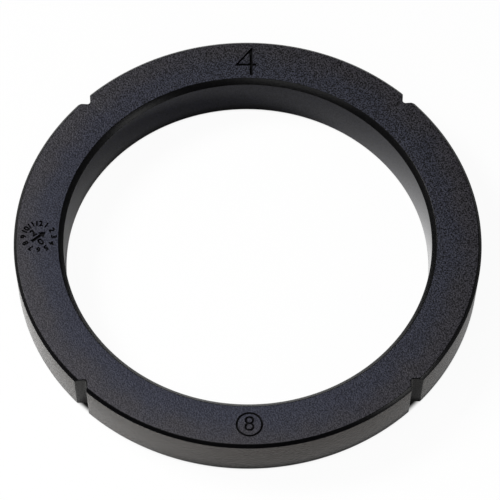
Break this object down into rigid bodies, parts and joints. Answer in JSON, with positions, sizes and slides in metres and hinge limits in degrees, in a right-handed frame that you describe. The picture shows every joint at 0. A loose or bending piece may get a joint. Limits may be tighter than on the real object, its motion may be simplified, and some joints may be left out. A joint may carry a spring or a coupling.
{
  "type": "group head gasket",
  "caption": "Moulded rubber sealing ring with a chamfered rim and bore, and V notches down its outer wall, for the group head of a coffee machine.",
  "frame": {"origin": "centre of the ring, on the plane of its lower face", "axes": "+Z along the ring's axis, up to the face with the chamfered bore mouth; the notches lie midway between X and Y"},
  "size_m": [0.073, 0.073, 0.008],
  "materials": {
    "black_rubber": "matt moulded rubber with a fine mottled grain"
  },
  "bodies": {
    "root": {"gasket_ring": "black_rubber"}
  },
  "joints": []
}
